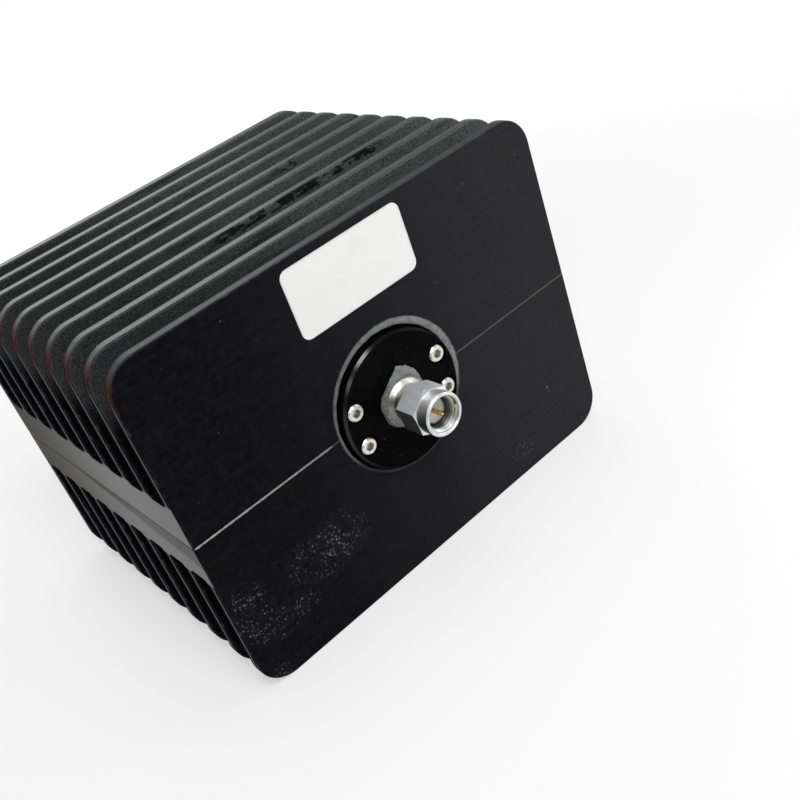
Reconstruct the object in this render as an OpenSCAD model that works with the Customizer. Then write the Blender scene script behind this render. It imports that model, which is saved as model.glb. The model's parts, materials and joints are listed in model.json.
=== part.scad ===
// RF dummy load: a film resistor in a turned cartridge, clamped between two finned heat sink halves,
// with a threaded coaxial plug on the front. Millimetres, +Z up, the plug faces -Y.
// The origin is the middle of the base of the overall box.

/* [Heat sink] */
// Width, left to right
sink_width = 88.9; // [80:0.1:120]
// Height of the two halves together
sink_height = 67.0; // [56:0.1:100]
// Fins on each half, front and back plates included
fin_count = 10; // [9:1:14]
// Distance from one fin to the next
fin_pitch = 7.84; // [7.4:0.01:10]
// Thickness of each fin
fin_thickness = 2.45; // [1.8:0.05:2.7]
// Thickness of the solid web of each half
web_thickness = 7.8; // [7.2:0.1:12]
// Radius of the four outer corners of every fin
corner_radius = 6.0; // [2:0.1:12]
// Radius at the foot of every fin
root_fillet = 0.8; // [0.3:0.1:1.2]
// Chamfer round both edges of every fin
fin_chamfer = 0.25; // [0.1:0.05:0.4]
// Chamfer along the edges of the seam between the halves
seam_chamfer = 0.2; // [0.1:0.05:0.4]

/* [Cartridge] */
// Diameter of the round flange
flange_d = 25.4; // [24:0.1:30]
// Thickness of the flange
flange_thickness = 3.0; // [2.6:0.1:5]
// Depth of the recess that the flange sits in
recess_depth = 1.3; // [0.8:0.1:1.6]
// Gap round the flange in its recess
recess_gap = 0.4; // [0.1:0.05:0.8]
// Chamfer on the front edge of the flange
flange_chamfer = 0.45; // [0.1:0.05:0.5]
// Diameter of the barrel
barrel_d = 11.0; // [10.4:0.1:12]
// Length of the barrel behind the flange
barrel_length = 48; // [42:0.5:52]
// Diameter of the cavity in the barrel
cavity_d = 8.0; // [7.6:0.1:8.6]
// Length of the plug that closes the barrel
plug_length = 4.0; // [2:0.5:6]

/* [Flange screws] */
// Distance of the screws from the edge of the flange
flange_screw_inset = 2.43; // [2.4:0.01:3]
// Angle of the screws above and below the level of the seam
flange_screw_angle = 20.1; // [14:0.1:35]
// Thread diameter
flange_screw_d = 1.6; // [1.4:0.1:1.8]
// Head diameter
flange_head_d = 3.2; // [2.6:0.1:3.3]
// Head height
flange_head_h = 1.6; // [1.2:0.1:1.7]
// Length under the head
flange_screw_length = 7.5; // [5:0.5:10]
// Height of the head above the flange
flange_head_proud = 0.1; // [0:0.05:0.2]
// Hexagon socket across flats
flange_socket = 1.5; // [1.2:0.1:1.6]

/* [Clamp screws] */
// Distance of the screws from the middle, left and right
clamp_x = 28; // [20:0.5:34]
// Thread diameter
clamp_screw_d = 2.84; // [2.4:0.02:3]
// Head diameter
clamp_head_d = 4.65; // [4.2:0.05:4.8]
// Head height
clamp_head_h = 2.84; // [2.4:0.02:3.2]
// Hexagon socket across flats
clamp_socket = 2.4; // [2:0.1:2.6]
// Thickness of the split washer
washer_h = 0.8; // [0.5:0.05:1]
// Depth of the spot face that the washer sits on
spot_face = 0.8; // [0.2:0.1:1.5]
// Length of thread in the upper half
clamp_grip = 5.8; // [4:0.1:6.5]

/* [Plug body] */
// Hexagonal base across flats
base_af = 9.6; // [9:0.1:12]
// Length of the hexagonal base
base_length = 0.8; // [0.5:0.1:1.2]
// Turn of the hexagonal base about the axis
base_turn = 97; // [0:1:360]
// Diameter of the round shoulder where it meets the base
shoulder_d = 8.4; // [7.6:0.1:8.8]
// Length of the shoulder
shoulder_length = 1.9; // [1.2:0.1:2.4]
// Width of the slope round the foot of the shoulder
shoulder_slope = 0.8; // [0.2:0.1:1]
// Diameter of the neck that the nut turns on
neck_d = 5.2; // [5:0.05:5.4]
// Length of the neck
neck_length = 3.6; // [3.4:0.1:4.4]
// Outer diameter of the contact shell
shell_d = 4.59; // [4.4:0.01:4.8]
// Length of the contact shell in front of the neck
shell_length = 1.8; // [1:0.1:2.4]
// Diameter of the spigot in the flange
spigot_d = 6.35; // [6:0.05:7]
// Length of the spigot
spigot_length = 6.0; // [4:0.1:8]

/* [Contact] */
// Diameter of the insulator
dielectric_d = 4.1; // [3.8:0.05:4.2]
// Diameter of the centre contact inside the insulator
conductor_d = 1.27; // [1.1:0.01:1.4]
// Diameter of the pin
pin_d = 0.914; // [0.9:0.001:0.94]
// Length of the pin in front of the shell
pin_length = 2.2; // [1.6:0.1:2.5]
// Length of the flattened tail behind the insulator
tail_length = 5.2; // [4.6:0.1:5.6]

/* [Coupling nut] */
// Hexagon across flats
nut_af = 7.94; // [7.8:0.02:9]
// Length of the whole nut
nut_length = 7.4; // [7:0.1:9]
// Length of the round front
collar_length = 2.7; // [2:0.1:3.4]
// Diameter of the round front
collar_d = 7.8; // [7.4:0.05:7.9]
// Diameter of the bore at the root of the thread
thread_d = 6.35; // [6.2:0.01:6.5]
// Visible length of neck behind the nut
nut_standoff = 0.8; // [0.5:0.1:1]
// Length of the slope from the hexagon down to the round front
nut_slope = 0.25; // [0.1:0.05:0.7]
// Turn of the hexagon about the axis
nut_turn = 97; // [0:1:360]
// Thickness of the retaining ring
ring_h = 0.4; // [0.3:0.05:0.5]
// Depth of the ring in the neck
ring_in = 0.25; // [0.15:0.05:0.35]
// Height of the ring above the neck
ring_out = 0.38; // [0.3:0.02:0.42]

/* [Resistor] */
// Width of the ceramic plate
chip_width = 6.4; // [4:0.1:6.6]
// Length of the ceramic plate
chip_length = 14; // [8:0.5:20]
// Thickness of the ceramic plate
chip_h = 0.635; // [0.4:0.005:1]
// Thickness of the resistive film
film_h = 0.05; // [0.03:0.01:0.1]
// Bare border of the ceramic round the film
film_margin = 0.6; // [0.3:0.1:1]
// Thickness of the contact tab
tab_h = 0.1; // [0.05:0.01:0.2]
// Width of the contact tab
tab_width = 1.2; // [0.8:0.1:2]
// Overlap of the tab on the film
tab_overlap = 2; // [1:0.1:4]

/* [Label and bead] */
// Width of the label
label_width = 25.4; // [15:0.1:40]
// Height of the label
label_height = 12.7; // [6:0.1:13.5]
// Corner radius of the label
label_corner = 1.6; // [0.5:0.1:3]
// Thickness of the label
label_h = 0.12; // [0.08:0.01:0.3]
// Gap between the label and the top edge
label_top_gap = 1.65; // [0.5:0.05:4]
// Distance of the label from the middle, to the right
label_shift = 0.2; // [-2:0.1:2]
// Mean width of the bead of compound
bead_width = 1.2; // [1:0.05:2.5]
// Sideways shift of the outline of the bead
bead_shift = 0.45; // [0:0.05:0.8]
// Direction of that shift above the level of the seam
bead_turn = 25; // [0:5:90]
// Height of the bead
bead_h = 0.15; // [0.05:0.01:0.3]

/* [Clearances] */
// Radial clearance of parts that are clamped or pressed together
seat_gap = 0.02; // [0.01:0.01:0.05]
// Radial clearance of the coupling nut on the neck
running_gap = 0.06; // [0.03:0.01:0.1]
// Radial clearance of screws in plain holes
screw_gap = 0.2; // [0.1:0.05:0.3]

/* [Hidden] */
$fn = 96;

// Overlap of cutting tools beyond the faces that they cut
cut = 1;

// Heat sink: depth and half height, with the seam at mid height
sink_depth = (fin_count - 1) * fin_pitch + fin_thickness;
half_height = sink_height / 2;
channel_width = fin_pitch - fin_thickness;
recess_d = flange_d + 2 * recess_gap;
bore_d = barrel_d + 2 * seat_gap;

// Depth of drilled holes beyond the ends of what sits in them, and the channels that hold clamp screws
end_room = 0.5;
clamp_channels = [2, fin_count - 4];

// Stations along the plug axis, measured forward from the front face of the heat sink
flange_front = flange_thickness - recess_depth;
base_front = flange_front + base_length;
shoulder_front = base_front + shoulder_length;
nut_back = shoulder_front + nut_standoff;
neck_front = shoulder_front + neck_length;
shell_front = neck_front + shell_length;
nut_front = nut_back + nut_length;
spigot_back = flange_front - spigot_length;
hex_front = nut_front - collar_length;
thread_relief = 0.1;
thread_back = neck_front + thread_relief;

// Retaining ring, midway in the length of neck that the nut covers, with play on every side
ring_play = 0.08;
ring_middle = (nut_back + thread_back) / 2;
ring_floor_d = neck_d - 2 * ring_in;
ring_outer_d = neck_d + 2 * ring_out;
nut_bore_d = neck_d + 2 * running_gap;

// Levels below the plug axis, from the flat on the tail of the pin down to the carrier
tail_flat = 0.3;
tab_top = -tail_flat;
film_top = tab_top - tab_h;
chip_top = film_top - film_h;
carrier_top = chip_top - chip_h;
cavity_front = spigot_back;
plug_back = -recess_depth - barrel_length;
plug_front = plug_back + plug_length;
tail_back = spigot_back - tail_length;

// Room between the tail and the ceramic plate, and length of carrier that shows in front of the plate
tail_room = 0.5;
carrier_lead = 2.0;
chip_front = tail_back - tail_room;
carrier_front = chip_front + carrier_lead;

// Places the plug axis and the front face of the heat sink in the frame of the part
front_y = (nut_front - sink_depth) / 2;

module at_front() {
    translate([0, front_y, half_height]) children();
}

// Turns +Z forward, so that heights are stations along the plug axis and Y is up
module on_axis() {
    at_front() rotate([90, 0, 0]) children();
}

module tube(from, to, outer_d, inner_d) {
    translate([0, 0, from]) difference() {
        cylinder(h = to - from, d = outer_d);
        translate([0, 0, -cut]) cylinder(h = to - from + 2 * cut, d = inner_d);
    }
}

module hexagon(af, h) {
    cylinder(h = h, d = af / cos(30), $fn = 6);
}

module flange_screw_places() {
    circle_r = flange_d / 2 - flange_screw_inset;
    for (x = [-1, 1], z = [-1, 1])
        translate([x * circle_r * cos(flange_screw_angle), z * circle_r * sin(flange_screw_angle), 0])
            children();
}

// Clamp screws stand in two of the channels, measured from the seam in the frame of the front face
module clamp_places() {
    for (x = [-1, 1], channel = clamp_channels)
        translate([x * clamp_x, (channel + 0.5) * fin_pitch + fin_thickness / 2, 0]) children();
}

// Outline seen from above of a block as wide as the heat sink, with its four upright edges chamfered
function plan(depth) =
    let (outer = sink_width / 2, inner = outer - fin_chamfer, back = depth - fin_chamfer) [
        [-inner, 0], [inner, 0], [outer, fin_chamfer], [outer, back],
        [inner, depth], [-inner, depth], [-outer, back], [-outer, fin_chamfer]
    ];

// Disc along +Z with both edges chamfered, for the outer corners of a fin
module corner_disc() {
    cylinder(h = fin_chamfer, r1 = corner_radius - fin_chamfer, r2 = corner_radius);
    translate([0, 0, fin_chamfer]) cylinder(h = fin_thickness - 2 * fin_chamfer, r = corner_radius);
    translate([0, 0, fin_thickness - fin_chamfer])
        cylinder(h = fin_chamfer, r1 = corner_radius, r2 = corner_radius - fin_chamfer);
}

// One fin with its foot at z = 0 and its front face at y = 0
module fin() {
    flat = sink_width / 2 - corner_radius;
    shoulder = half_height - fin_chamfer;
    profile = [
        [0, 0], [fin_thickness, 0], [fin_thickness, shoulder], [fin_thickness - fin_chamfer, half_height],
        [fin_chamfer, half_height], [0, shoulder]
    ];
    translate([-flat, 0, 0]) rotate([90, 0, 90]) linear_extrude(2 * flat) polygon(profile);
    linear_extrude(half_height - corner_radius) polygon(plan(fin_thickness));
    for (x = [-flat, flat])
        translate([x, 0, half_height - corner_radius]) rotate([-90, 0, 0]) corner_disc();
}

// Cutter for one channel between fins, with rounded feet
module channel() {
    length = sink_width + 2 * cut;
    translate([-length / 2, 0, web_thickness + root_fillet])
        cube([length, channel_width, half_height]);
    translate([-length / 2, root_fillet, web_thickness])
        cube([length, channel_width - 2 * root_fillet, half_height]);
    for (y = [root_fillet, channel_width - root_fillet])
        translate([-length / 2, y, web_thickness + root_fillet])
            rotate([0, 90, 0]) cylinder(h = length, r = root_fillet);
}

// Cutters for the chamfers round the seam face
module seam_chamfers() {
    wedge = [[-cut, -cut], [seam_chamfer + cut, -cut], [-cut, seam_chamfer + cut]];
    for (side = [0, 1]) {
        translate([0, side * sink_depth, 0]) mirror([0, side, 0])
            translate([-sink_width / 2 - cut, 0, 0]) rotate([90, 0, 90])
                linear_extrude(sink_width + 2 * cut) polygon(wedge);
        mirror([side, 0, 0]) translate([-sink_width / 2, sink_depth + cut, 0]) rotate([90, 0, 0])
            linear_extrude(sink_depth + 2 * cut) polygon(wedge);
    }
}

// Solid web under the fins, with the rounded feet of the channels
module web() {
    difference() {
        linear_extrude(web_thickness + root_fillet) polygon(plan(sink_depth));
        for (i = [0 : fin_count - 2])
            translate([0, i * fin_pitch + fin_thickness, 0]) channel();
    }
}

// One half with its seam at z = 0 and its front face at y = 0
module finned_half() {
    difference() {
        union() {
            web();
            for (i = [0 : fin_count - 1]) translate([0, i * fin_pitch, 0]) fin();
        }
        seam_chamfers();
        translate([0, recess_depth, 0]) rotate([90, 0, 0]) cylinder(h = recess_depth + cut, d = recess_d);
        translate([0, recess_depth + barrel_length + end_room, 0]) rotate([90, 0, 0])
            cylinder(h = recess_depth + barrel_length + end_room + cut, d = bore_d);
        rotate([90, 0, 0]) flange_screw_places()
            translate([0, 0, -flange_screw_length - end_room])
                cylinder(h = flange_screw_length + end_room + cut, d = flange_screw_d + 2 * seat_gap);
    }
}

module upper_heat_sink() {
    color([0.13, 0.13, 0.14]) at_front() difference() {
        finned_half();
        clamp_places() translate([0, 0, -cut])
            cylinder(h = clamp_grip + end_room + cut, d = clamp_screw_d + 2 * seat_gap);
    }
}

module lower_heat_sink() {
    color([0.12, 0.12, 0.13]) at_front() difference() {
        mirror([0, 0, 1]) finned_half();
        clamp_places() translate([0, 0, -web_thickness - cut])
            cylinder(h = web_thickness + 2 * cut, d = clamp_screw_d + 2 * screw_gap);
        clamp_places() translate([0, 0, -web_thickness - cut])
            cylinder(h = spot_face + cut, d = clamp_head_d + 2 * screw_gap);
    }
}

// Turned flange and barrel in one piece
module load_body() {
    counterbore_d = flange_head_d + 3 * screw_gap;
    color([0.06, 0.06, 0.06]) on_axis() difference() {
        union() {
            translate([0, 0, -recess_depth]) cylinder(h = flange_thickness - flange_chamfer, d = flange_d);
            translate([0, 0, flange_front - flange_chamfer])
                cylinder(h = flange_chamfer, d1 = flange_d, d2 = flange_d - 2 * flange_chamfer);
            translate([0, 0, plug_back]) cylinder(h = barrel_length + cut, d = barrel_d);
        }
        translate([0, 0, spigot_back - cut])
            cylinder(h = spigot_length + 2 * cut, d = spigot_d + 2 * seat_gap);
        translate([0, 0, plug_back - cut]) cylinder(h = cavity_front - plug_back + cut, d = cavity_d);
        flange_screw_places() {
            translate([0, 0, -recess_depth - cut])
                cylinder(h = flange_thickness + 2 * cut, d = flange_screw_d + screw_gap);
            translate([0, 0, flange_front + flange_head_proud - flange_head_h])
                cylinder(h = flange_head_h + cut, d = counterbore_d);
        }
    }
}

// Socket head cap screw with the underside of its head at z = 0 and its thread pointing down
module cap_screw(d, length, head_d, head_h, socket) {
    rim = 0.08 * head_d;
    difference() {
        union() {
            translate([0, 0, -length]) cylinder(h = length + cut / 2, d = d);
            cylinder(h = head_h - rim, d = head_d);
            translate([0, 0, head_h - rim]) cylinder(h = rim, d1 = head_d, d2 = head_d - 2 * rim);
        }
        translate([0, 0, head_h / 2]) hexagon(socket, head_h);
    }
}

module flange_screws() {
    color([0.75, 0.75, 0.72]) on_axis() flange_screw_places()
        translate([0, 0, flange_front + flange_head_proud - flange_head_h])
            cap_screw(flange_screw_d, flange_screw_length, flange_head_d, flange_head_h, flange_socket);
}

// Bead of compound on the front face, wider on its right
module thermal_compound() {
    color([0.55, 0.56, 0.56]) on_axis() difference() {
        translate([bead_shift * cos(bead_turn), bead_shift * sin(bead_turn), 0])
            cylinder(h = bead_h, d = recess_d + 2 * bead_width);
        translate([0, 0, -cut]) cylinder(h = bead_h + 2 * cut, d = recess_d + 2 * seat_gap);
    }
}

module label() {
    straight_w = label_width - 2 * label_corner;
    straight_h = label_height - 2 * label_corner;
    color([0.93, 0.93, 0.92]) on_axis()
        translate([label_shift, half_height - label_top_gap - label_height / 2, 0]) {
            translate([-label_width / 2, -straight_h / 2, 0]) cube([label_width, straight_h, label_h]);
            translate([-straight_w / 2, -label_height / 2, 0]) cube([straight_w, label_height, label_h]);
            for (x = [-1, 1], y = [-1, 1])
                translate([x * straight_w / 2, y * straight_h / 2, 0])
                    cylinder(h = label_h, r = label_corner);
        }
}

// Hexagonal base with turned-down corners, sloped shoulder, neck with a ring groove, shell and spigot
module connector_body() {
    base_foot_d = base_af + base_length / 2;
    base_front_d = base_af - base_length / 4;
    slope_sunk = base_length / 4;
    slope_foot_d = shoulder_d + 2 * slope_sunk;
    shoulder_front_d = shoulder_d - 2 * shoulder_slope;
    color([0.62, 0.62, 0.6]) on_axis() difference() {
        union() {
            translate([0, 0, spigot_back]) cylinder(h = spigot_length + base_length / 2, d = spigot_d);
            intersection() {
                translate([0, 0, flange_front]) rotate([0, 0, base_turn]) hexagon(base_af, base_length);
                translate([0, 0, flange_front])
                    cylinder(h = base_length, d1 = base_foot_d, d2 = base_front_d);
            }
            translate([0, 0, base_front - slope_sunk])
                cylinder(h = shoulder_slope + slope_sunk, d1 = slope_foot_d, d2 = shoulder_front_d);
            translate([0, 0, flange_front]) cylinder(h = shoulder_front - flange_front, d = shoulder_front_d);
            translate([0, 0, flange_front]) cylinder(h = neck_front - flange_front, d = neck_d);
            translate([0, 0, flange_front]) cylinder(h = shell_front - flange_front, d = shell_d);
        }
        translate([0, 0, spigot_back - cut])
            cylinder(h = shell_front - spigot_back + 2 * cut, d = dielectric_d + 2 * seat_gap);
        tube(ring_middle - ring_h / 2 - ring_play, ring_middle + ring_h / 2 + ring_play,
            neck_d + cut, ring_floor_d);
    }
}

// Open ring, part in the neck and part in the nut
module retaining_ring() {
    opening = 30;
    inner_r = ring_floor_d / 2 + seat_gap;
    color([0.7, 0.6, 0.35]) on_axis() translate([0, 0, ring_middle - ring_h / 2])
        rotate([0, 0, opening / 2]) rotate_extrude(angle = 360 - opening)
            translate([inner_r, 0]) square([ring_outer_d / 2 - inner_r, ring_h]);
}

// Hexagon turned down to a round collar in front, bored for the neck, the ring and the thread
module coupling_nut() {
    corner_d = nut_af / cos(30);
    back_chamfer = (corner_d - nut_af) / 2;
    rim = 0.25;
    mouth_d = thread_d + 2 * rim;
    color([0.72, 0.72, 0.7]) on_axis() difference() {
        union() {
            intersection() {
                translate([0, 0, nut_back]) rotate([0, 0, nut_turn]) hexagon(nut_af, hex_front - nut_back);
                union() {
                    translate([0, 0, nut_back])
                        cylinder(h = back_chamfer, d1 = nut_af, d2 = corner_d);
                    translate([0, 0, nut_back + back_chamfer])
                        cylinder(h = hex_front - nut_slope - nut_back - back_chamfer, d = corner_d);
                    translate([0, 0, hex_front - nut_slope])
                        cylinder(h = nut_slope, d1 = corner_d, d2 = collar_d);
                }
            }
            translate([0, 0, hex_front - nut_slope])
                cylinder(h = collar_length + nut_slope - rim, d = collar_d);
            translate([0, 0, nut_front - rim]) cylinder(h = rim, d1 = collar_d, d2 = collar_d - 2 * rim);
        }
        translate([0, 0, nut_back - cut]) cylinder(h = nut_length + 2 * cut, d = nut_bore_d);
        translate([0, 0, ring_middle - ring_h / 2 - ring_play])
            cylinder(h = ring_h + 2 * ring_play, d = ring_outer_d + 2 * ring_play);
        translate([0, 0, thread_back]) cylinder(h = nut_front - thread_back + cut, d = thread_d);
        translate([0, 0, nut_front - rim]) cylinder(h = rim + seat_gap, d1 = thread_d, d2 = mouth_d);
    }
}

module dielectric() {
    color([0.9, 0.89, 0.84]) on_axis()
        tube(spigot_back, shell_front, dielectric_d, conductor_d + 2 * seat_gap);
}

// Gold contact: tapered pin, thicker middle, and a tail with a flat that sits on the tab
module centre_pin() {
    tip = 0.5;
    tip_d = pin_d / 2;
    color([0.83, 0.68, 0.3]) on_axis() {
        translate([0, 0, spigot_back]) cylinder(h = shell_front - spigot_back, d = conductor_d);
        translate([0, 0, shell_front - cut]) cylinder(h = pin_length + cut - tip, d = pin_d);
        translate([0, 0, shell_front + pin_length - tip]) cylinder(h = tip, d1 = pin_d, d2 = tip_d);
        intersection() {
            translate([0, 0, tail_back]) cylinder(h = tail_length + cut, d = pin_d);
            translate([-pin_d, tab_top, tail_back - cut]) cube([2 * pin_d, 2 * pin_d, tail_length + 3 * cut]);
        }
    }
}

module contact_tab() {
    tab_back = chip_front - film_margin - tab_overlap;
    tab_front = spigot_back - tail_length / 2;
    color([0.85, 0.7, 0.3]) on_axis()
        translate([-tab_width / 2, film_top, tab_back]) cube([tab_width, tab_h, tab_front - tab_back]);
}

// Ceramic plate with the raised film on its upper face
module resistor_chip() {
    film_w = chip_width - 2 * film_margin;
    film_length = chip_length - 2 * film_margin;
    color([0.85, 0.85, 0.82]) on_axis() translate([0, 0, chip_front - chip_length]) {
        translate([-chip_width / 2, carrier_top, 0]) cube([chip_width, chip_h, chip_length]);
        translate([-film_w / 2, chip_top - chip_h / 2, film_margin])
            cube([film_w, chip_h / 2 + film_h, film_length]);
    }
}

// Half-round bar that fills the lower part of the cavity
module chip_carrier() {
    carrier_d = cavity_d - 2 * seat_gap;
    color([0.72, 0.45, 0.3]) on_axis() intersection() {
        translate([0, 0, plug_front]) cylinder(h = carrier_front - plug_front, d = carrier_d);
        translate([-cavity_d, carrier_top - cavity_d, plug_front - cut])
            cube([2 * cavity_d, cavity_d, carrier_front - plug_front + 2 * cut]);
    }
}

module rear_plug() {
    slot_w = 1.0;
    slot_h = 1.2;
    color([0.6, 0.6, 0.6]) on_axis() difference() {
        translate([0, 0, plug_back]) cylinder(h = plug_length, d = cavity_d - 2 * seat_gap);
        translate([-cavity_d, -slot_w / 2, plug_back - cut]) cube([2 * cavity_d, slot_w, slot_h + cut]);
    }
}

// The heads hang in the channels of the lower half
module clamp_screws() {
    seat = -web_thickness + spot_face - washer_h;
    color([0.3, 0.3, 0.3]) at_front() clamp_places() translate([0, 0, seat]) mirror([0, 0, 1])
        cap_screw(clamp_screw_d, clamp_grip - seat, clamp_head_d, clamp_head_h, clamp_socket);
}

module clamp_washers() {
    split = 0.4;
    hole_d = clamp_screw_d + screw_gap;
    color([0.5, 0.5, 0.5]) at_front() clamp_places()
        translate([0, 0, -web_thickness + spot_face - washer_h]) difference() {
            tube(0, washer_h, clamp_head_d, hole_d);
            translate([0, -split / 2, -cut]) cube([clamp_head_d, split, washer_h + 2 * cut]);
        }
}

upper_heat_sink();
lower_heat_sink();
load_body();
flange_screws();
thermal_compound();
label();
connector_body();
coupling_nut();
retaining_ring();
dielectric();
centre_pin();
contact_tab();
resistor_chip();
chip_carrier();
rear_plug();
clamp_screws();
clamp_washers();
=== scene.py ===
"""Looks of the RF dummy load: finishes, the small forms that its solids leave out, light and camera."""

import json
import math

import bpy
from mathutils import Matrix, Vector


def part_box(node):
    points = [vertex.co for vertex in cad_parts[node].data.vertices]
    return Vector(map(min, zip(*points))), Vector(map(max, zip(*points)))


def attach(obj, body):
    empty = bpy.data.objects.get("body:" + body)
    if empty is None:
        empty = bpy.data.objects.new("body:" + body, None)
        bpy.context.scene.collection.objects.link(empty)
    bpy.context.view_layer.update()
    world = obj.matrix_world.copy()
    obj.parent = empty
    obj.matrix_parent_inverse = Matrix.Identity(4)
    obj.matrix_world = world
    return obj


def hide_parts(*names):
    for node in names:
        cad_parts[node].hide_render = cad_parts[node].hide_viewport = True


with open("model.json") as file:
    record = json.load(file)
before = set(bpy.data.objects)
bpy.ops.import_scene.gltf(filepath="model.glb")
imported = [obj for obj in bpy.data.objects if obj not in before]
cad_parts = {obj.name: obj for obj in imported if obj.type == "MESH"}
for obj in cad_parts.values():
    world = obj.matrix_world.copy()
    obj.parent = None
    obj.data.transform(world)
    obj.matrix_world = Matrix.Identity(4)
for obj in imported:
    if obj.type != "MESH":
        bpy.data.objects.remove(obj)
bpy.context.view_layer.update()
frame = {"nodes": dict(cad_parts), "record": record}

MM = 0.001

# Places in metres: the front face, the seam, and the plug axis where it meets both
SINK_LOW, SINK_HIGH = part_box("upper_heat_sink")
FRONT_Y = SINK_LOW.y
SEAM_Z = SINK_LOW.z
PLUG_ORIGIN = Vector((0, FRONT_Y, SEAM_Z))

# Sizes of the solids in millimetres, which place the wear, the dust and the painted light and shade
HALF_WIDTH = SINK_HIGH.x / MM
HALF_HEIGHT = (SINK_HIGH.z - SEAM_Z) / MM
DEPTH = (SINK_HIGH.y - FRONT_Y) / MM
CORNER_RADIUS = 6.0
WEB_HALF_HEIGHT = 8.45
FIN_PITCH = 7.84
FIN_THICKNESS = 2.45
PLUG_SHOULDER = 2.55
NUT_COLLAR = 9.75

# Sizes in millimetres of the forms that are made here
NUT_FRONT = (FRONT_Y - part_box("coupling_nut")[0].y) / MM
NECK_FRONT = 8.1
THREAD_PITCH = 25.4 / 36
THREAD_ROOT = 3.2
THREAD_CREST = 2.86
THREAD_END_GAP = 0.35
RECESS_RADIUS = 13.12
BEAD_MIDDLE = 14.0
BEAD_RADIUS = 14.3
BEAD_SHIFT = 0.45
BEAD_TURN = math.radians(25)
BEAD_HEIGHT = 0.16
SEAM_WIDTH = 0.42
FLANGE_FRONT = 1.7
SMEAR_INNER = 4.3
SMEAR_FLAT = 4.85
SMEAR_FLAT_DEGREES = 127
SMEAR_START_DEGREES = 20
SMEAR_SWEEP_DEGREES = 98


class Wire:
    """One output of a node. Arithmetic on it adds Math nodes; node() adds any other node to the tree."""

    def __init__(self, tree, socket=None):
        self.tree = tree
        self.socket = socket

    def node(self, kind, settings=None, sockets=None, out=0):
        made = self.tree.nodes.new("ShaderNode" + kind)
        for name, value in (settings or {}).items():
            setattr(made, name, value)
        for name, value in (sockets or {}).items():
            if isinstance(value, Wire):
                self.tree.links.new(value.socket, made.inputs[name])
            else:
                made.inputs[name].default_value = value
        if isinstance(out, tuple):
            return tuple(Wire(self.tree, made.outputs[one]) for one in out)
        return Wire(self.tree, made.outputs[out])

    def maths(self, operation, first, second=0.0):
        return self.node("Math", {"operation": operation}, {0: first, 1: second})

    def __add__(self, other):
        return self.maths("ADD", self, other)

    def __radd__(self, other):
        return self.maths("ADD", other, self)

    def __sub__(self, other):
        return self.maths("SUBTRACT", self, other)

    def __rsub__(self, other):
        return self.maths("SUBTRACT", other, self)

    def __mul__(self, other):
        return self.maths("MULTIPLY", self, other)

    def __rmul__(self, other):
        return self.maths("MULTIPLY", other, self)

    def __truediv__(self, other):
        return self.maths("DIVIDE", self, other)

    def __pow__(self, other):
        return self.maths("POWER", self, other)

    def __gt__(self, other):
        return self.maths("GREATER_THAN", self, other)

    def __abs__(self):
        return self.maths("ABSOLUTE", self)


class Finish:
    """A material whose Principled shader takes numbers at once and wires one by one."""

    def __init__(self, name, **constants):
        self.material = bpy.data.materials.new(name)
        self.material.use_nodes = True
        self.tree = self.material.node_tree
        self.shader = self.tree.nodes["Principled BSDF"]
        self.start = Wire(self.tree)
        for socket, value in constants.items():
            self.shader.inputs[socket.replace("_", " ")].default_value = value

    def feed(self, socket, wire):
        self.tree.links.new(wire.socket, self.shader.inputs[socket])

    def millimetres(self):
        """Place in millimetres from the plug axis on the front face: right, back and up."""
        place = self.start.node("TexCoord", out="Object")
        return self.start.node(
            "Mapping", {}, {"Vector": place, "Scale": (1 / MM,) * 3, "Location": -PLUG_ORIGIN / MM}
        )

    def wear(self, height, depth, strength=1.0):
        """Bump of a height field whose full range is depth in metres."""
        sockets = {"Strength": strength, "Distance": depth, "Height": height}
        self.feed("Normal", height.node("Bump", {}, sockets))


def split(place):
    return place.node("SeparateXYZ", {}, {0: place}, ("X", "Y", "Z"))


def join(place, x, y, z):
    return place.node("CombineXYZ", {}, {0: x, 1: y, 2: z})


def cloud(place, per_mm, detail=3.0, roughness=0.55):
    """Noise between 0 and 1, with its own number of waves per millimetre along each axis."""
    scaled = place.node("VectorMath", {"operation": "MULTIPLY"}, {0: place, 1: per_mm})
    sockets = {"Vector": scaled, "Scale": 1.0, "Detail": detail, "Roughness": roughness}
    return place.node("TexNoise", {}, sockets)


def rise(value, low, high):
    """0 below low, 1 above high and a smooth step between them."""
    return value.node("MapRange", {"interpolation_type": "SMOOTHSTEP"}, {0: value, 1: low, 2: high})


def greater(first, second):
    return first.maths("MAXIMUM", first, second)


def tint(factor, first, second):
    """First colour where the factor is 0 and second where it is 1."""
    first, second = (one if isinstance(one, Wire) else (*one, 1.0) for one in (first, second))
    return factor.node("Mix", {"data_type": "RGBA"}, {0: factor, 6: first, 7: second}, 2)


def specks(place, per_mm, size, share):
    """Small grains, one to a cell on the given share of the cells, with the size as a part of a cell."""
    scaled = place.node("VectorMath", {"operation": "MULTIPLY"}, {0: place, 1: (per_mm,) * 3})
    sockets = {"Vector": scaled, "Scale": 1.0}
    distance, colour = place.node("TexVoronoi", {}, sockets, ("Distance", "Color"))
    chance = place.node("SeparateColor", {}, {0: colour}, ("Red", "Green"))
    return (1 - rise(distance, size * 0.5, size)) * (chance[0] > 1 - share) * (0.4 + 0.6 * chance[1])


def patch(across, up, middle, radii):
    """Soft round patch on a flat face, 1 in the middle and 0 outside."""
    first = (across - middle[0]) / radii[0]
    second = (up - middle[1]) / radii[1]
    return 1 - rise(first * first + second * second, 0.15, 1.2)


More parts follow.
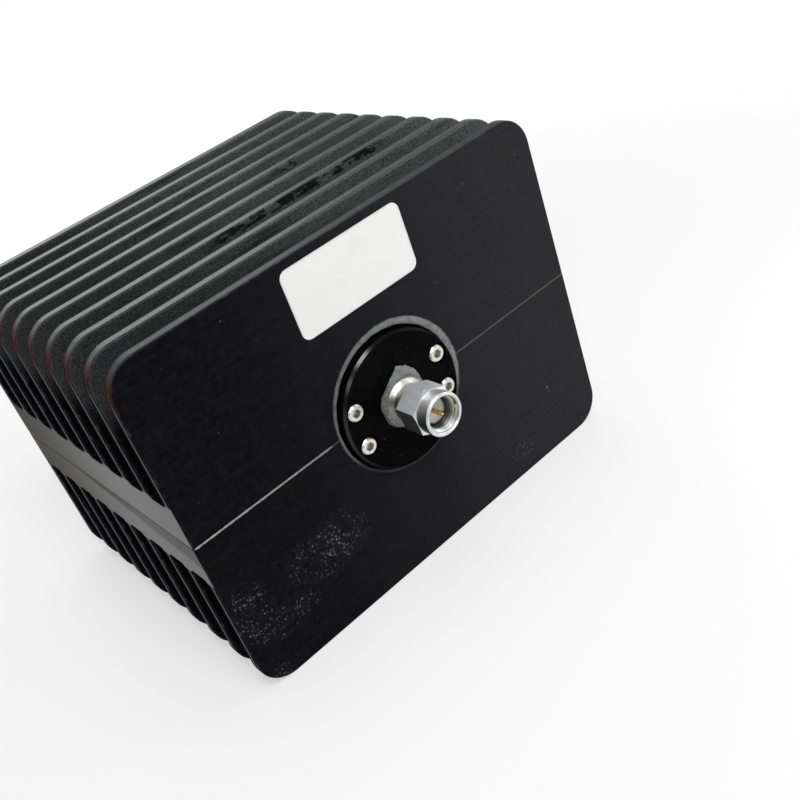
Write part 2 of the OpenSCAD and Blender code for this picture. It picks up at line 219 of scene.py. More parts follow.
def dark_wall_stretch(place, fin, first, last):
    """Ragged stretch on the front wall of one fin where the lighter wall tint is left off, the front plate
    being fin 0.
    """
    x, y, z = split(place)
    ragged = cloud(place, (0.5, 0.5, 1.2), 4, 0.65)
    gaps = cloud(place, (0.16, 0.3, 0.1), 2)
    along = x + 8.0 * (ragged - 0.5)
    length = rise(along, first - 3.0, first + 3.0) * (1 - rise(along, last - 2.0, last + 2.0))
    high = rise(z + 2.0 * (ragged - 0.5), HALF_HEIGHT - 1.7, HALF_HEIGHT - 1.2)
    patches = rise(ragged + 0.9 * (gaps - 0.5), 0.44, 0.52) * high
    return length * (1 - rise(abs(y - fin * FIN_PITCH), 0.5, 1.0)) * patches


def anodised_sink():
    """Black anodised extrusion: lines along the fins, faint clouds, dust and painted light on the channel
    walls, painted reflection on the front face and the left web, and satin edges.
    """
    finish = Finish(
        "black_anodised", Specular_IOR_Level=0.035,
        Coat_Roughness=0.3, Coat_IOR=1.5, Coat_Tint=(0.94, 0.97, 1.0, 1.0),
    )
    place = finish.millimetres()
    x, y, z = split(place)
    lines = cloud(place, (0.03, 1.6, 1.6), 4)
    scratches = cloud(place, (0.12, 7.0, 7.0), 3, 0.7)
    grain = cloud(place, (5.0, 5.0, 5.0), 2, 0.7)
    blotch = cloud(place, (0.07, 0.07, 0.07), 3)
    hue = cloud(place, (0.33, 0.33, 0.33), 2)
    front = 1 - rise(y, 0.05, 0.3)
    sideways, normal = (abs(one) for one in split(finish.start.node("TexCoord", out="Normal"))[:2])
    back = rise(y, DEPTH - 0.61, DEPTH - 0.21)
    wall = rise(normal, 0.55, 0.68) * (1 - front) * (1 - back)

    mottle = cloud(place, (0.8, 0.8, 0.8), 3, 0.6)
    colour = tint(rise(hue, 0.35, 0.65), (0.0015, 0.0017, 0.0042), (0.0030, 0.0027, 0.0026))
    # Painted reflection: the front face is painted lighter grey towards the right, and the back face takes
    # an even share of the same grey.
    painted_sheen = rise(x + 6.0 * (blotch - 0.5), -34.0, 38.0) * front + 0.4 * back
    colour = tint(painted_sheen * (0.8 + 1.0 * (mottle - 0.5)), colour, (0.031, 0.031, 0.0325))
    colour = tint(rise(lines, 0.42, 0.72) * 0.35 * (front + back), colour, (0.0105, 0.0105, 0.0116))
    colour = tint(rise(mottle, 0.42, 0.7) * 0.55, colour, (0.0085, 0.0082, 0.0115))
    colour = tint(rise(scratches, 0.6, 0.8) * 0.4 * (front + back), colour, (0.018, 0.018, 0.019))
    # Ragged dark stretches where the channel walls keep their black.
    streak_noise = cloud(place, (0.05, 0.16, 0.5), 3) + 0.25 * (grain - 0.5)
    streak = rise(streak_noise, 0.6, 0.68) * rise(x, -22.0, -8.0)
    dark_stretches = greater(dark_wall_stretch(place, 3, -10.0, 30.0), dark_wall_stretch(place, 5, 15.0, 21.0))
    dark_stretches = greater(dark_stretches, 0.6 * streak)
    # Dust grain and painted light: the channel walls are painted lighter grey near the top, as if lit from
    # above, and more so towards the right.
    dust_and_top_light = wall * rise(z, 19.0, 27.0) * (0.2 + 0.8 * rise(grain, 0.35, 0.7)) * (1 - 0.9 * dark_stretches)
    colour = tint(dust_and_top_light * (0.42 + 0.58 * rise(x, -32.0, 15.0)), colour, (0.152, 0.157, 0.155))

    past_flat = greater(abs(x) - (HALF_WIDTH - CORNER_RADIUS), 0.0)
    past_side = greater(abs(z) - (HALF_HEIGHT - CORNER_RADIUS), 0.0)
    from_corner = (past_flat * past_flat + past_side * past_side) ** 0.5
    outline = rise(from_corner, CORNER_RADIUS - 0.4, CORNER_RADIUS - 0.15)
    chamfer = rise(normal, 0.5, 0.62) * (1 - rise(normal, 0.8, 0.9)) * outline
    rubbed = rise(cloud(place, (0.5, 0.5, 0.5), 4), 0.5, 0.72)
    colour = tint(chamfer * 0.4 * rubbed, colour, (0.10, 0.098, 0.094))

    from_middle = finish.start.maths("PINGPONG", y - FIN_THICKNESS / 2, FIN_PITCH / 2)
    side = rise(sideways, 0.7, 0.98)
    web = 1 - rise(abs(z), WEB_HALF_HEIGHT - 0.15, WEB_HALF_HEIGHT + 0.15)
    narrow = 1 - rise(from_middle, 0.06, 0.25)
    broad = 1 - rise(from_middle, 0.45, 1.15)
    crown = greater(side * narrow + (1 - side) * broad, web)
    edge = outline * (1 - rise(normal, 0.3, 0.5)) * crown
    arc = (1 - rise(x, -43.4, -41.4)) * rise(z, 26.0, 28.4) * outline
    brown = arc * rise(cloud(place, (0.9, 0.9, 0.9), 3), 0.3, 0.62) * (1 - rise(normal, 0.5, 0.8))
    colour = tint(brown * 0.9, colour, (0.052, 0.011, 0.007))
    # Painted reflection: the left web is tinted a warm grey that the right web lacks, and its far part is
    # painted lighter and duller, as its reflection fades towards the back.
    left_web_painted_tint = side * web * (1 - rise(x, -1.0, 1.0))
    far_web_painted_fade = rise(y, 16.0, 74.0) * left_web_painted_tint
    colour = tint(left_web_painted_tint * 0.8, colour, (0.028, 0.026, 0.021))
    colour = tint(far_web_painted_fade * 0.6, colour, (0.047, 0.042, 0.032))

    corner_dust = patch(x, z, (-41.0, -17.2), (4.6, 6.6))
    corner_dust = greater(corner_dust, patch(x, z, (-23.5, -16.4), (10.0, 5.8)))
    corner_dust = greater(corner_dust, patch(x, z, (-35.5, -22.8), (7.5, 3.4)))
    corner_dust = greater(corner_dust, patch(x, z, (-40.0, -31.4), (3.4, 2.0)) * 0.8)
    corner_dust = greater(corner_dust, patch(x, z, (22.8, -28.2), (3.6, 2.2)) * 0.8)
    corner_dust = greater(corner_dust, patch(x, z, (33.0, -20.0), (0.7, 1.8)))
    drifts = rise(cloud(place, (0.3, 0.45, 0.55), 4, 0.6), 0.36, 0.66)
    density = corner_dust * drifts * front
    powder = rise(cloud(place, (4.0, 4.0, 4.0), 4, 0.8), 0.52, 0.7)
    fine_dust = greater(specks(place, 2.1, 0.44, 0.5), specks(place, 1.3, 0.34, 0.4))
    front_dust = density * greater(0.02 + 0.12 * powder, fine_dust)
    stray_dust = specks(place, 0.17, 0.035, 0.5) + specks(place, 0.45, 0.06, 0.18) * 0.7
    caught = rise(cloud(place, (0.11, 0.11, 0.11), 2), 0.45, 0.65)
    lint = specks(place, 1.1, 0.16, 0.08) * (1 - front) * caught
    both = {0: front_dust + lint * 0.5, 1: stray_dust * 0.8}
    dust = finish.start.node("Math", {"operation": "ADD", "use_clamp": True}, both)
    colour = tint(dust * 0.85, colour, (0.225, 0.228, 0.25))
    finish.feed("Base Color", colour)
    high = rise(z, 5.0, 12.0)
    # Painted reflection in the coat: the fin tops lose shine towards the right, the upper side edges lose
    # some, and the front plate's edges lose some as painted shade.
    top_shine = 0.8 + 0.3 * (lines - 0.5) - 0.45 * rise(x, -24.0, 35.0)
    side_shine = 0.68 - 0.13 * web - 0.1 * high
    shine = side * side_shine + (1 - side) * top_shine
    foremost = 1 - 0.45 * (1 - rise(y, 2.5, 3.0)) * (1 - side)
    # Painted shadow: below the seam on the side, a wedge that widens towards the front is dulled.
    wedge = greater(4.2 - 0.08 * y, 0.5)
    groove = rise(z + wedge, -0.9, 0.5) * (1 - rise(z, 0.1, 0.4)) * side
    shine = shine * foremost * (1 - groove * (0.36 + 0.3 * rise(y, 15.0, 50.0))) * (1 - 0.66 * far_web_painted_fade)
    finish.feed("Coat Weight", edge * shine * (1 - 0.95 * arc))
    dull_and_painted_shade = side * (1 - crown) * 0.45 + groove * (0.12 + 0.2 * rise(y, 15.0, 50.0)) + far_web_painted_fade * 0.45
    finish.feed("Roughness", 0.4 + 0.12 * (lines - 0.5) + 0.16 * (grain - 0.5) + 0.3 * dust + dull_and_painted_shade)
    finish.wear(lines * 0.6 + scratches * 0.35 + grain * 0.3 + dust * 0.8, 0.00003, 0.5)
    return finish.material


def turned_flange():
    """Semi-gloss black of the turned flange, with faint turning rings and a little dust."""
    finish = Finish("black_flange", Specular_IOR_Level=0.02, Coat_Roughness=0.2, Coat_IOR=1.5)
    place = finish.millimetres()
    x, y, z = split(place)
    radius = (x * x + z * z) ** 0.5
    rings = cloud(join(place, radius, y, 0.0), (7.0, 7.0, 1.0), 3)
    smear = cloud(place, (0.35, 0.35, 0.35), 3)
    dust = greater(specks(place, 0.5, 0.07, 0.3), specks(place, 1.4, 0.12, 0.1))
    colour = tint(rise(smear, 0.4, 0.7) * 0.6, (0.0016, 0.0016, 0.0018), (0.0046, 0.0046, 0.005))
    # Painted shade: the flange is painted darker towards its bottom.
    colour = tint((1 - rise(z, -6.0, 5.0)) * 0.85, colour, (0.0004, 0.0004, 0.0005))
    finish.feed("Base Color", tint(dust * 0.5, colour, (0.2, 0.2, 0.19)))
    finish.feed("Roughness", 0.22 + 0.12 * smear + 0.08 * (rings - 0.5))
    normal = abs(split(finish.start.node("TexCoord", out="Normal"))[1])
    # Painted highlight: the chamfer's coat is made stronger at the upper left, which sets the bright arc
    # there.
    upper_left_painted_highlight = 0.16 + 0.5 * rise(0.7 * z - x, 6.0, 14.0)
    finish.feed("Coat Weight", upper_left_painted_highlight * rise(normal, 0.4, 0.6) * (1 - rise(normal, 0.8, 0.95)))
    finish.wear(rings + dust, 0.000012, 0.35)
    return finish.material


def screw_steel():
    """Bright stainless of the small cap screws, with stains, and painted shade darkening the sockets."""
    finish = Finish("stainless_screws", Metallic=1.0)
    place = finish.millimetres()
    y = split(place)[1]
    stain_and_painted_shade = cloud(place, (1.6, 1.6, 1.6), 4)
    grain = cloud(place, (9.0, 9.0, 9.0), 2)
    # Painted shade: the sockets are painted darker with depth.
    socket_painted_shade = rise(y, -1.55, -1.0)
    colour = tint(rise(stain_and_painted_shade, 0.35, 0.7) * 0.6, (0.78, 0.77, 0.71), (0.55, 0.54, 0.47))
    finish.feed("Base Color", tint(socket_painted_shade * 0.6, colour, (0.26, 0.25, 0.21)))
    finish.feed("Roughness", 0.22 + 0.16 * stain_and_painted_shade)
    finish.wear(grain, 0.000008, 0.4)
    return finish.material


def plug_body_steel():
    """Blasted grey of the hexagonal base, and the bright turned shoulder and shell in front of it."""
    finish = Finish("stainless_body")
    place = finish.millimetres()
    x, y, z = split(place)
    turned = 1 - rise(y, -PLUG_SHOULDER - 0.07, -PLUG_SHOULDER + 0.07)
    pits = cloud(place, (2.6, 2.6, 2.6), 4, 0.65)
    shade = cloud(place, (0.8, 0.8, 0.8), 2)
    lathe = cloud(place, (0.2, 9.0, 0.2), 3, 0.6)
    blasted = tint(rise(pits, 0.38, 0.62), (0.26, 0.26, 0.25), (0.11, 0.11, 0.10))
    blasted = tint(rise(shade, 0.4, 0.7) * 0.4, blasted, (0.18, 0.18, 0.165))
    radius = (x * x + z * z) ** 0.5
    # Painted shade: the turned shoulder and shell are painted dark on their side that faces left and a
    # little down.
    stain_and_painted_shade = rise(-0.985 * x - 0.17 * z, 0.42 * radius, 0.78 * radius)
    bright = tint(stain_and_painted_shade * 0.85, (0.76, 0.75, 0.67), (0.12, 0.117, 0.10))
    finish.feed("Base Color", tint(turned, blasted, bright))
    finish.feed("Metallic", 0.3 + 0.65 * turned)
    finish.feed("Roughness", 0.55 + 0.14 * pits - turned * (0.26 + 0.1 * pits))
    finish.wear(pits * 0.25 * (1 - turned) + lathe * turned, 0.0001, 0.8)
    return finish.material


def nut_steel():
    """Satin stainless of the coupling nut, with lathe lines round its collar and rubbed flats."""
    finish = Finish("stainless_nut")
    place = finish.millimetres()
    x, y, z = split(place)
    lathe = cloud(place, (0.15, 9.0, 0.15), 3, 0.6)
    rub = cloud(place, (0.7, 0.25, 0.7), 3)
    grain = cloud(place, (8.0, 8.0, 8.0), 2)
    colour = tint(rise(rub, 0.35, 0.7) * 0.7, (0.80, 0.815, 0.82), (0.68, 0.695, 0.70))
    nicks = specks(place, 1.6, 0.14, 0.25)
    colour = tint(nicks * 0.5, colour, (0.3, 0.3, 0.29))
    radius = (x * x + z * z) ** 0.5
    # Painted shade deep in the bore behind the thread.
    throat_painted_shade = (1 - rise(radius, 3.2, 3.4)) * rise(y, -11.3, -10.2)
    # Painted shade: the flat facing left and a little down is painted near black, and turns with the nut.
    facing_x, _, facing_z = split(finish.start.node("TexCoord", out="Normal"))
    dull_and_painted_shade = rise(-0.99 * facing_x - 0.12 * facing_z, 0.6, 0.95)
    colour = tint(dull_and_painted_shade * 0.92, colour, (0.036, 0.036, 0.038))
    # Painted shade and warm reflection: the right and upper inner wall of the mouth is painted a darker warm
    # grey.
    mouth = (1 - rise(radius, 3.2, 3.4)) * rise(0.8 * x + 0.4 * z, -0.6, 1.6)
    colour = tint(mouth * 0.75, colour, (0.36, 0.34, 0.27))
    finish.feed("Base Color", tint(throat_painted_shade * 0.9, colour, (0.05, 0.05, 0.045)))
    collar = 1 - rise(y, -NUT_COLLAR - 0.15, -NUT_COLLAR + 0.15)
    finish.feed("Metallic", 0.62 + 0.3 * collar)
    finish.feed("Roughness", 0.32 - 0.06 * collar + 0.1 * rub + 0.06 * grain)
    finish.wear(lathe + grain * 0.03 - nicks * 0.05, 0.0001, 0.8)
    return finish.material


def gold_plate():
    """Gold plating of the pin and the tab, a little dulled."""
    finish = Finish("gold", Metallic=1.0)
    place = finish.millimetres()
    dull_and_painted_shade = cloud(place, (2.0, 1.0, 2.0), 3)
    lines = cloud(place, (0.5, 14.0, 0.5), 2)
    finish.feed("Base Color", tint(rise(dull_and_painted_shade, 0.35, 0.7), (0.80, 0.60, 0.22), (0.62, 0.47, 0.17)))
    finish.feed("Roughness", 0.2 + 0.14 * dull_and_painted_shade)
    finish.wear(lines, 0.000006, 0.4)
    return finish.material


def waxy_insulator():
    """Waxy white insulator with faint lathe lines."""
    finish = Finish("insulator", Specular_IOR_Level=0.35)
    place = finish.millimetres()
    x, y, z = split(place)
    radius = (x * x + z * z) ** 0.5
    rings = cloud(join(place, radius, y, 0.0), (9.0, 4.0, 1.0), 2)
    milky = cloud(place, (1.2, 1.2, 1.2), 3)
    finish.feed("Base Color", tint(milky, (0.82, 0.81, 0.77), (0.72, 0.71, 0.66)))
    finish.feed("Roughness", 0.42 + 0.14 * milky)
    finish.wear(rings, 0.00001, 0.4)
    return finish.material


def label_stock():
    """Bare white label stock: faint fibre, a soft grey rub towards its edges and a few specks."""
    finish = Finish("label_stock", Specular_IOR_Level=0.3)
    place = finish.millimetres()
    x, _, z = split(place)
    low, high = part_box("label")
    middle = ((low + high) / 2 - PLUG_ORIGIN) / MM
    half = (high - low) / 2 / MM
    border = greater(abs(x - middle.x) - half.x, abs(z - middle.z) - half.z)
    fibre = cloud(place, (3.0, 3.0, 3.0), 4, 0.65)
    weave = cloud(place, (1.2, 1.2, 14.0), 2)
    smudge = cloud(place, (0.16, 0.16, 0.3), 3)
    colour = tint(rise(fibre, 0.3, 0.75) * 0.5, (0.86, 0.86, 0.855), (0.80, 0.80, 0.79))
    colour = tint(rise(smudge, 0.5, 0.75) * 0.22, colour, (0.70, 0.70, 0.68))
    colour = tint(rise(border, -0.45, 0.0) * 0.45, colour, (0.56, 0.56, 0.54))
    colour = tint(specks(place, 0.5, 0.05, 0.22) * 0.5, colour, (0.25, 0.25, 0.24))
    finish.feed("Base Color", colour)
    finish.feed("Roughness", 0.44 + 0.16 * fibre)
    finish.wear(fibre * 0.7 + weave * 0.3, 0.00002, 0.5)
    return finish.material


def thermal_paste():
    """Matt grey paste, fading at the edge of the bead, with painted shade darkening the bead on the left and
    low down, and painted light brightening the seam on the left.
    """
    finish = Finish("compound", Specular_IOR_Level=0.2)
    place = finish.millimetres()
    x, _, z = split(place)
    lumps = cloud(place, (1.1, 1.1, 1.1), 4, 0.62)
    speckle = cloud(place, (4.0, 4.0, 4.0), 3, 0.7)
    thin = cloud(place, (0.45, 0.45, 0.45), 3)
    radius = (x * x + z * z) ** 0.5
    bead = rise(radius, 10.0, 12.0) * (1 - rise(radius, 15.2, 15.8))
    seam = rise(radius, 15.2, 15.8)
    outer = BEAD_RADIUS + BEAD_SHIFT * (x * math.cos(BEAD_TURN) + z * math.sin(BEAD_TURN)) / radius
    colour = tint(rise(lumps, 0.3, 0.7), (0.26, 0.265, 0.265), (0.155, 0.158, 0.158))
    # Painted shade: the bead is painted darker on the left and near black low down.
    left = 1 - rise(x, -12.0, 6.0)
    colour = tint(left * 0.5 * bead, colour, (0.115, 0.117, 0.117))
    low = 1 - rise(z, -9.0, -0.5)
    colour = tint(low * 0.92 * bead, colour, (0.012, 0.012, 0.0125))
    frayed = rise(radius - outer + 0.9 * (speckle - 0.5), -0.55, 0.05)
    colour = tint(frayed * 0.85 * bead, colour, (0.014, 0.014, 0.015))
    colour = tint(rise(thin, 0.5, 0.68) * 0.4 * bead, colour, (0.05, 0.05, 0.051))
    colour = tint(seam, colour, (0.065, 0.065, 0.066))
    # Painted light: the seam line is painted lighter towards the left.
    bright = seam * (1 - rise(x, -40.0, 20.0))
    colour = tint(bright, colour, (0.31, 0.31, 0.305))
    finish.feed("Base Color", colour)
    finish.feed("Roughness", 0.55 + 0.2 * lumps)
    finish.wear(lumps + 0.3 * speckle, 0.00012, 0.7)
    return finish.material


def plain_metal(name, light, dark, roughness, metallic=1.0):
    """Finish of a piece inside: two tones of one metal with lathe lines."""
    finish = Finish(name, Metallic=metallic)
    place = finish.millimetres()
    tone = cloud(place, (0.9, 0.9, 0.9), 3)
    lines = cloud(place, (0.4, 9.0, 0.4), 2)
    finish.feed("Base Color", tint(rise(tone, 0.3, 0.7), light, dark))
    finish.feed("Roughness", roughness + 0.15 * tone)
    finish.wear(lines, 0.00001, 0.5)
    return finish.material


def film_on_ceramic():
    """White ceramic plate with the dark resistive film on its raised face."""
    finish = Finish("ceramic_chip", Specular_IOR_Level=0.4)
    place = finish.millimetres()
    z = split(place)[2]
    grain = cloud(place, (4.0, 4.0, 4.0), 3)
    film = rise(z, -0.448, -0.44)
    white = tint(grain, (0.80, 0.80, 0.77), (0.70, 0.70, 0.66))
    finish.feed("Base Color", tint(film, white, (0.035, 0.034, 0.036)))
    finish.feed("Roughness", 0.5 + 0.2 * grain)
    finish.wear(grain, 0.00001, 0.5)
    return finish.material


def deselect():
    bpy.ops.object.select_all(action="DESELECT")


def made(name):
    """The piece that an operator has just added, under its name."""
    piece = bpy.context.object
    piece.name = name
    piece.data.name = name
    return piece


def complete(piece, body, finish, angle):
    """Puts the place into the mesh, merges points, turns faces outwards and hangs the piece on its body."""
    bpy.ops.object.transform_apply(location=True, rotation=True, scale=True)
    bpy.ops.object.mode_set(mode="EDIT")
    bpy.ops.mesh.select_all(action="SELECT")
    bpy.ops.mesh.remove_doubles(threshold=0.000002)
    bpy.ops.mesh.normals_make_consistent(inside=False)
    bpy.ops.object.mode_set(mode="OBJECT")
    bpy.ops.object.shade_smooth_by_angle(angle=math.radians(angle))
    piece.data.materials.clear()
    piece.data.materials.append(finish)
    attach(piece, body)


def nut_thread(finish):
    """Ridge of the thread inside the mouth of the nut, swept from one profile along its helix."""
    deselect()
    turns = math.floor((NUT_FRONT - THREAD_END_GAP - NECK_FRONT) / THREAD_PITCH)
    bpy.ops.mesh.primitive_plane_add(size=1.0)
    ridge = made("nut_thread")
    half = THREAD_PITCH * 0.42
    corners = [(THREAD_ROOT, -half), (THREAD_CREST, -0.05), (THREAD_CREST, 0.05), (THREAD_ROOT, half)]
    bpy.ops.object.mode_set(mode="EDIT")
    bpy.ops.mesh.select_all(action="SELECT")
    bpy.ops.mesh.delete(type="ONLY_FACE")
    bpy.ops.object.mode_set(mode="OBJECT")
    order = [ridge.data.edges[0].vertices[0]]
    links = {v: [] for v in range(4)}
    for edge in ridge.data.edges:
        first, second = edge.vertices
        links[first].append(second)
        links[second].append(first)
    while len(order) < 4:
        order.append(next(v for v in links[order[-1]] if v not in order))
    for vertex, (radius, along) in zip(order, corners):
        ridge.data.vertices[vertex].co = (radius * MM, 0, along * MM)
    screw = ridge.modifiers.new("helix", "SCREW")
    screw.axis = "Z"
    screw.angle = math.tau
    screw.screw_offset = THREAD_PITCH * MM
    screw.iterations = turns
    screw.steps = screw.render_steps = 56
    bpy.ops.object.modifier_apply(modifier="helix")
    bpy.ops.object.mode_set(mode="EDIT")
    bpy.ops.mesh.select_all(action="DESELECT")
    bpy.ops.mesh.select_non_manifold(extend=False)
    bpy.ops.mesh.edge_face_add()
    bpy.ops.object.mode_set(mode="OBJECT")
    ridge.rotation_euler = (math.radians(90), 0, 0)
    ridge.location = PLUG_ORIGIN + Vector((0, -(NECK_FRONT + half + 0.02) * MM, 0))
    complete(ridge, "nut", finish, 35)


def paste_bead(finish):
    """Irregular bead of paste squeezed out round the flange recess, wider on its right."""
    deselect()
    bpy.ops.mesh.primitive_torus_add(
        major_segments=288, minor_segments=16, major_radius=BEAD_MIDDLE * MM, minor_radius=1.0 * MM,
        location=PLUG_ORIGIN, rotation=(math.radians(90), 0, 0),
    )
    bead = made("paste_bead")
    for vertex in bead.data.vertices:
        right, up, out = (part / MM for part in vertex.co)
        angle = math.atan2(up, right)
        ripple = 0.05 * math.sin(5 * angle + 1.0) + 0.03 * math.sin(13 * angle + 2.1)
        ripple += 0.03 * math.sin(29 * angle + 0.4) + 0.025 * math.sin(53 * angle + 3.0)
        outer = BEAD_RADIUS + BEAD_SHIFT * math.cos(angle - BEAD_TURN) + ripple - 0.14
        inner = RECESS_RADIUS + 0.04 * math.sin(17 * angle) + 0.03 * math.sin(31 * angle + 1.3) + 0.03
        across = math.hypot(right, up) - BEAD_MIDDLE
        swell = 0.75 + 0.25 * math.sin(5 * angle + 0.7) * math.sin(19 * angle)
        radius = (inner + outer) / 2 + across * (outer - inner) / 2
        height = max(out * BEAD_HEIGHT * swell, -0.005)
        vertex.co = Vector((radius * math.cos(angle), radius * math.sin(angle), height)) * MM
    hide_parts("thermal_compound")
    complete(bead, "load", finish, 60)


def paste_strip(name, sides, cuts):
    """Rod of length 1 and diameter 1 along X, cut across for bending."""
    deselect()
    bpy.ops.mesh.primitive_cylinder_add(
        vertices=sides, radius=0.5, depth=1.0, end_fill_type="TRIFAN", rotation=(0, math.radians(90), 0)
    )
    strip = made(name)
    bpy.ops.object.transform_apply(location=False, rotation=True, scale=False)
    bpy.ops.object.mode_set(mode="EDIT")
    for cut in range(1, cuts):
        bpy.ops.mesh.select_all(action="SELECT")
        bpy.ops.mesh.bisect(plane_co=(cut / cuts - 0.5, 0, 0), plane_no=(1, 0, 0))
    bpy.ops.object.mode_set(mode="OBJECT")
    strip.location = PLUG_ORIGIN
    return strip


def seam_paste(side, finish):
    """Thin line of paste in the groove of the seam on the front face, from the bead out to one edge."""
    line = paste_strip("seam_paste_right" if side > 0 else "seam_paste_left", 12, 120)
    start = BEAD_RADIUS + side * BEAD_SHIFT - 0.3
    length = HALF_WIDTH - 0.25 - start
    for vertex in line.data.vertices:
        along = start + (vertex.co.x + 0.5) * length
        width = SEAM_WIDTH * (0.92 + 0.10 * math.sin(along * 1.9) + 0.08 * math.sin(along * 4.7 + side))
        level = 0.02 * math.sin(along * 1.1 + 2 * side) + 0.015 * math.sin(along * 3.7)
        ends = min(1.0, (along - start) / 0.4 + 0.2, (start + length - along) / 0.4 + 0.2)
        depth = vertex.co.y * 0.16 + 0.03 + level
        vertex.co = Vector((side * along, depth, vertex.co.z * width * ends)) * MM
    complete(line, "load", finish, 60)


def foot_paste(finish):
    """Smear of paste against the upper right side of the plug's hexagonal foot."""
    smear = paste_strip("foot_paste", 14, 60)
    for vertex in smear.data.vertices:
        share = vertex.co.x + 0.5
        degrees = SMEAR_START_DEGREES + SMEAR_SWEEP_DEGREES * share
        angle = math.radians(degrees)
        swell = math.sin(math.pi * share) ** 0.6
        lump = 0.06 * math.sin(31 * share) + 0.05 * math.sin(67 * share + 1.0)
        along_flat = SMEAR_FLAT / math.cos(math.radians(max(degrees, 60) - SMEAR_FLAT_DEGREES))
        outer = min(5.0 + 0.026 * (degrees - SMEAR_START_DEGREES), along_flat) + lump * swell
        radius = SMEAR_INNER + (outer - SMEAR_INNER) * (vertex.co.z + 0.5)
        height = FLANGE_FRONT + (0.5 - vertex.co.y) * (0.15 + 0.6 * swell) * (1.15 - vertex.co.z) - 0.06
        vertex.co = Vector((radius * math.cos(angle), -height, radius * math.sin(angle))) * MM
    complete(smear, "load", finish, 60)


def dress_solids(finishes):
    """Gives every solid of the frame its finish, by the slot that the record names for it."""
    for part in frame["record"]["subparts"]:
        solid = frame["nodes"][part["node"]]
        solid.data.materials.clear()
        solid.data.materials.append(finishes[part["material_slot"]])


def pale_floor():
    """Plain pale floor that looks white to the camera and in reflections, and keeps the shadow."""
    deselect()
    bpy.ops.mesh.primitive_plane_add(size=6.0)
    floor = made("floor")
    material = bpy.data.materials.new("floor_white")
    material.use_nodes = True
    tree = material.node_tree
    shader = tree.nodes["Principled BSDF"]
    shader.inputs["Base Color"].default_value = (0.86, 0.86, 0.86, 1.0)
    shader.inputs["Roughness"].default_value = 0.8
    shader.inputs["Specular IOR Level"].default_value = 0.1
    start = Wire(tree)
    white = start.node("Emission", {}, {"Color": (1.0, 1.0, 1.0, 1.0), "Strength": 1.0})
    camera, glossy, through = start.node(
        "LightPath", {}, {}, ("Is Camera Ray", "Is Glossy Ray", "Is Transmission Ray")
    )
    x, y, _ = split(start.node("TexCoord", out="Object"))
    away = rise((x * x + y * y) ** 0.5, 0.07, 0.24)
    seen = greater(greater(camera, glossy), through) * (0.55 + 0.45 * away)
    mixed = start.node("MixShader", {}, {0: seen, 1: Wire(tree, shader.outputs[0]), 2: white})
    tree.links.new(mixed.socket, tree.nodes["Material Output"].inputs["Surface"])
    floor.data.materials.append(material)


def white_surroundings():
    """White to the camera, greyer in front for reflections, and soft light mostly from the upper right."""
    world = bpy.data.worlds.new("studio")
    bpy.context.scene.world = world
    world.use_nodes = True
    tree = world.node_tree
    background = tree.nodes["Background"]
    start = Wire(tree)
    camera, glossy, through = start.node(
        "LightPath", {}, {}, ("Is Camera Ray", "Is Glossy Ray", "Is Transmission Ray")
    )
    x, y, z = split(start.node("TexCoord", out="Generated"))
    behind = 0.2 + 0.8 * rise(y + 0.4 * z + 0.5 * x, -0.1, 0.5)
    around = 0.09 + 0.27 * rise(x + 0.7 * z, -0.6, 0.8)
    mirrored = greater(glossy, through)
    strength = camera + (1 - camera) * (mirrored * behind + (1 - mirrored) * around)
    background.inputs["Color"].default_value = (1.0, 1.0, 1.0, 1.0)
    tree.links.new(strength.socket, background.inputs["Strength"])


def soft_box(name, place, target, size, power):
    lamp = bpy.data.lights.new(name, "AREA")
    lamp.shape = "RECTANGLE"
    lamp.size, lamp.size_y = size
    lamp.energy = power
    box = bpy.data.objects.new(name, lamp)
    bpy.context.scene.collection.objects.link(box)
    box.location = place
    box.visible_camera = False
    box.rotation_euler = (Vector(target) - Vector(place)).to_track_quat("-Z", "Y").to_euler()


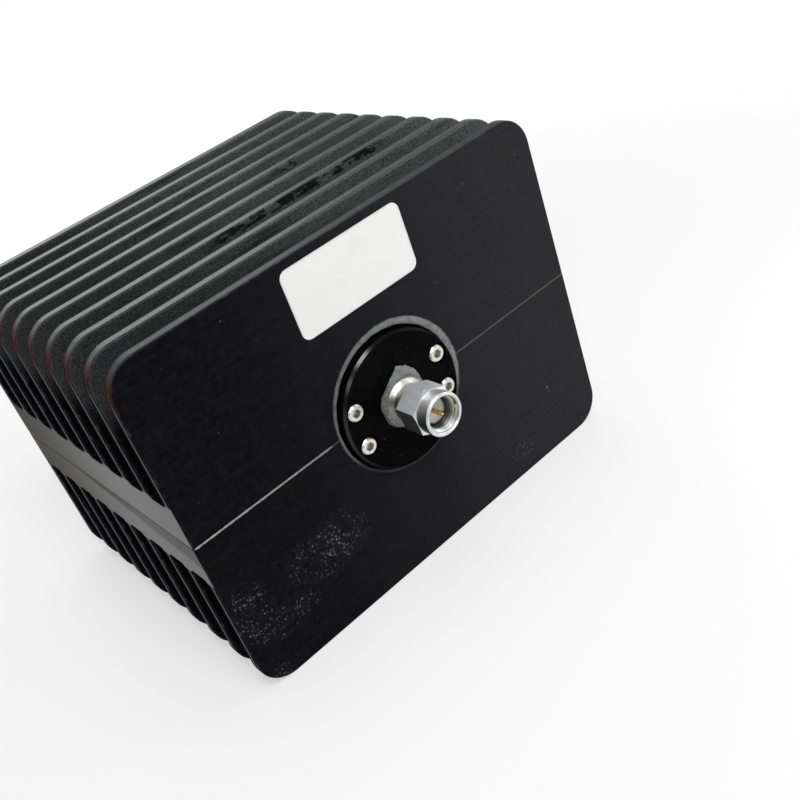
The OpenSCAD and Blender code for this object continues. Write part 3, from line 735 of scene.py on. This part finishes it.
def photo_camera():
    """Camera of the photograph, leaning to its right."""
    place = Vector((-0.0778, -0.16515, 0.12465))
    target = Vector((0.00021, -0.0302, 0.03275))
    lean = math.radians(20.73)
    forward = (target - place).normalized()
    level_right = forward.cross(Vector((0, 0, 1))).normalized()
    level_up = level_right.cross(forward)
    up = level_up * math.cos(lean) + level_right * math.sin(lean)
    right = level_right * math.cos(lean) - level_up * math.sin(lean)
    lens = bpy.data.cameras.new("photo_camera")
    lens.sensor_width = 36.0
    lens.lens = 46.26
    lens.clip_start = 0.005
    camera = bpy.data.objects.new("photo_camera", lens)
    bpy.context.scene.collection.objects.link(camera)
    turn = Matrix((right, up, -forward)).transposed().to_4x4()
    camera.matrix_world = Matrix.Translation(place) @ turn
    bpy.context.scene.camera = camera


finishes = {
    "black_anodised": anodised_sink(),
    "black_flange": turned_flange(),
    "stainless_screws": screw_steel(),
    "compound": thermal_paste(),
    "label_stock": label_stock(),
    "stainless_body": plug_body_steel(),
    "stainless_nut": nut_steel(),
    "spring_bronze": plain_metal("spring_bronze", (0.62, 0.45, 0.22), (0.50, 0.36, 0.18), 0.3),
    "insulator": waxy_insulator(),
    "gold": gold_plate(),
    "ceramic_chip": film_on_ceramic(),
    "copper": plain_metal("copper", (0.72, 0.43, 0.30), (0.58, 0.33, 0.22), 0.3),
    "black_steel": plain_metal("black_steel", (0.05, 0.05, 0.054), (0.03, 0.03, 0.031), 0.35, 0.6),
}
dress_solids(finishes)
nut_thread(finishes["stainless_nut"])
paste_bead(finishes["compound"])
seam_paste(-1, finishes["compound"])
seam_paste(1, finishes["compound"])
foot_paste(finishes["compound"])
pale_floor()
white_surroundings()
soft_box("key_box", (-0.06, -0.335, 0.55), (0, -0.035, 0.035), (0.20, 0.20), 2.0)
soft_box("left_card", (-0.285, -0.365, 0.28), (0, -0.035, 0.035), (0.10, 0.14), 0.19)
soft_box("back_box", (0.154, 0.725, 0.33), (0, 0, 0.06), (0.42, 0.32), 0.38)
soft_box("top_box", (0.10, 0.10, 0.80), (0, 0, 0.03), (0.50, 0.50), 1.8)
soft_box("right_box", (0.15, -0.13, 0.08), (0.03, -0.03, 0.035), (0.08, 0.10), 0.06)
photo_camera()

bpy.context.scene.view_settings.view_transform = "Standard"
